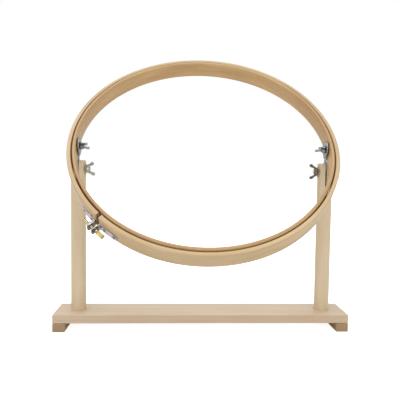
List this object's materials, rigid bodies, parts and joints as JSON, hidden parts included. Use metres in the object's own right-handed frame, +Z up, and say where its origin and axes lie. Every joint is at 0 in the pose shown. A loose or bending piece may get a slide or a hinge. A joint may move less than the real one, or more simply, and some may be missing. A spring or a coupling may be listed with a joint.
{
  "type": "embroidery hoop on table stand",
  "caption": "Wooden embroidery hoop with a split outer ring and a brass clamp screw, tilting on steel brackets between round posts on a footed base board.",
  "frame": {"origin": "on the ground, under the centre of the hoop: the middle of the bounding box's bottom face", "axes": "+Z up, +X along the base board to the right seen from the working side, -Y towards the person who sews"},
  "size_m": [0.4, 0.2588, 0.3881],
  "materials": {
    "base_wood": "fine-sanded beech, thin satin lacquer",
    "post_wood": "turned beech dowel, thin satin lacquer",
    "inner_ring_wood": "steam-bent beech, satin",
    "outer_ring_wood": "steam-bent beech, satin",
    "zinc_steel": "zinc plated",
    "bracket_steel": "zinc plated strip, dull",
    "dark_steel": "dark zinc plated",
    "brass": "bright, knurled head"
  },
  "bodies": {
    "base": {"base_board": "base_wood", "left_foot": "base_wood", "right_foot": "base_wood", "left_foot_front_screw": "zinc_steel", "left_foot_rear_screw": "zinc_steel", "right_foot_front_screw": "zinc_steel", "right_foot_rear_screw": "zinc_steel", "left_post": "post_wood", "right_post": "post_wood", "left_post_screw": "zinc_steel", "right_post_screw": "zinc_steel", "left_post_bolt": "zinc_steel", "right_post_bolt": "zinc_steel"},
    "left_arm": {"left_bracket": "bracket_steel"},
    "right_arm": {"right_bracket": "bracket_steel"},
    "hoop": {"inner_ring": "inner_ring_wood", "left_hoop_bolt": "dark_steel", "right_hoop_bolt": "dark_steel"},
    "outer_hoop": {"outer_ring": "outer_ring_wood", "upper_clamp_strap": "bracket_steel", "lower_clamp_strap": "bracket_steel", "upper_strap_rivet_1": "dark_steel", "upper_strap_rivet_2": "dark_steel", "lower_strap_rivet_1": "dark_steel", "lower_strap_rivet_2": "dark_steel", "clamp_nut": "dark_steel"},
    "screw_washer": {"clamp_washer": "dark_steel"},
    "screw": {"clamp_screw": "brass"},
    "left_lower_washer": {"left_post_washer": "zinc_steel"},
    "left_lower_nut": {"left_post_wing_nut": "zinc_steel"},
    "right_lower_washer": {"right_post_washer": "zinc_steel"},
    "right_lower_nut": {"right_post_wing_nut": "zinc_steel"},
    "left_upper_washer": {"left_hoop_washer": "bracket_steel"},
    "left_upper_nut": {"left_hoop_wing_nut": "dark_steel"},
    "right_upper_washer": {"right_hoop_washer": "bracket_steel"},
    "right_upper_nut": {"right_hoop_wing_nut": "dark_steel"}
  },
  "joints": [
    {"name": "left_arm_swing", "type": "hinge", "parent": "base", "child": "left_arm", "pos_m": [-0.1693, 0.014, 0.218], "axis": [1, 0, 0], "range_deg": [-15, 30]},
    {"name": "right_arm_swing", "type": "hinge", "parent": "base", "child": "right_arm", "pos_m": [0.1693, 0.014, 0.218], "axis": [1, 0, 0], "range_deg": [-15, 30]},
    {"name": "hoop_tilt", "type": "hinge", "parent": "left_arm", "child": "hoop", "pos_m": [0, 0, 0.2483], "axis": [1, 0, 0], "range_deg": [-40, 2]},
    {"name": "outer_ring_lift", "type": "slide", "parent": "hoop", "child": "outer_hoop", "axis": [0, -0.7373, 0.6756], "range_m": [0, 0.03]},
    {"name": "clamp_screw_turn", "type": "hinge", "parent": "screw_washer", "child": "screw", "pos_m": [-0.13403, -0.08573, 0.14883], "axis": [0.6997, -0.4827, -0.5268], "range_deg": [0, 1080]},
    {"name": "clamp_screw_travel", "type": "slide", "parent": "outer_hoop", "child": "screw_washer", "axis": [0.6997, -0.4827, -0.5268], "range_m": [0, 0.0021]},
    {"name": "left_lower_nut_turn", "type": "hinge", "parent": "left_lower_washer", "child": "left_lower_nut", "pos_m": [-0.158, 0.014, 0.218], "axis": [1, 0, 0], "range_deg": [0, 720]},
    {"name": "left_lower_nut_travel", "type": "slide", "parent": "base", "child": "left_lower_washer", "axis": [1, 0, 0], "range_m": [0, 0.0016]},
    {"name": "right_lower_nut_turn", "type": "hinge", "parent": "right_lower_washer", "child": "right_lower_nut", "pos_m": [0.158, 0.014, 0.218], "axis": [-1, 0, 0], "range_deg": [0, 720]},
    {"name": "right_lower_nut_travel", "type": "slide", "parent": "base", "child": "right_lower_washer", "axis": [-1, 0, 0], "range_m": [0, 0.0016]},
    {"name": "left_upper_nut_turn", "type": "hinge", "parent": "left_upper_washer", "child": "left_upper_nut", "pos_m": [-0.164, 0, 0.2483], "axis": [1, 0, 0], "range_deg": [0, 720]},
    {"name": "left_upper_nut_travel", "type": "slide", "parent": "hoop", "child": "left_upper_washer", "axis": [1, 0, 0], "range_m": [0, 0.0016]},
    {"name": "right_upper_nut_turn", "type": "hinge", "parent": "right_upper_washer", "child": "right_upper_nut", "pos_m": [0.164, 0, 0.2483], "axis": [-1, 0, 0], "range_deg": [0, 720]},
    {"name": "right_upper_nut_travel", "type": "slide", "parent": "hoop", "child": "right_upper_washer", "axis": [-1, 0, 0], "range_m": [0, 0.0016]}
  ],
  "couplings": [
    {"joint": "right_arm_swing", "follows": "left_arm_swing", "ratio": 1},
    {"joint": "clamp_screw_turn", "follows": "clamp_screw_travel", "rad_per_m": 8976},
    {"joint": "left_lower_nut_turn", "follows": "left_lower_nut_travel", "rad_per_m": 7854},
    {"joint": "right_lower_nut_turn", "follows": "right_lower_nut_travel", "rad_per_m": 7854},
    {"joint": "left_upper_nut_turn", "follows": "left_upper_nut_travel", "rad_per_m": 7854},
    {"joint": "right_upper_nut_turn", "follows": "right_upper_nut_travel", "rad_per_m": 7854}
  ]
}
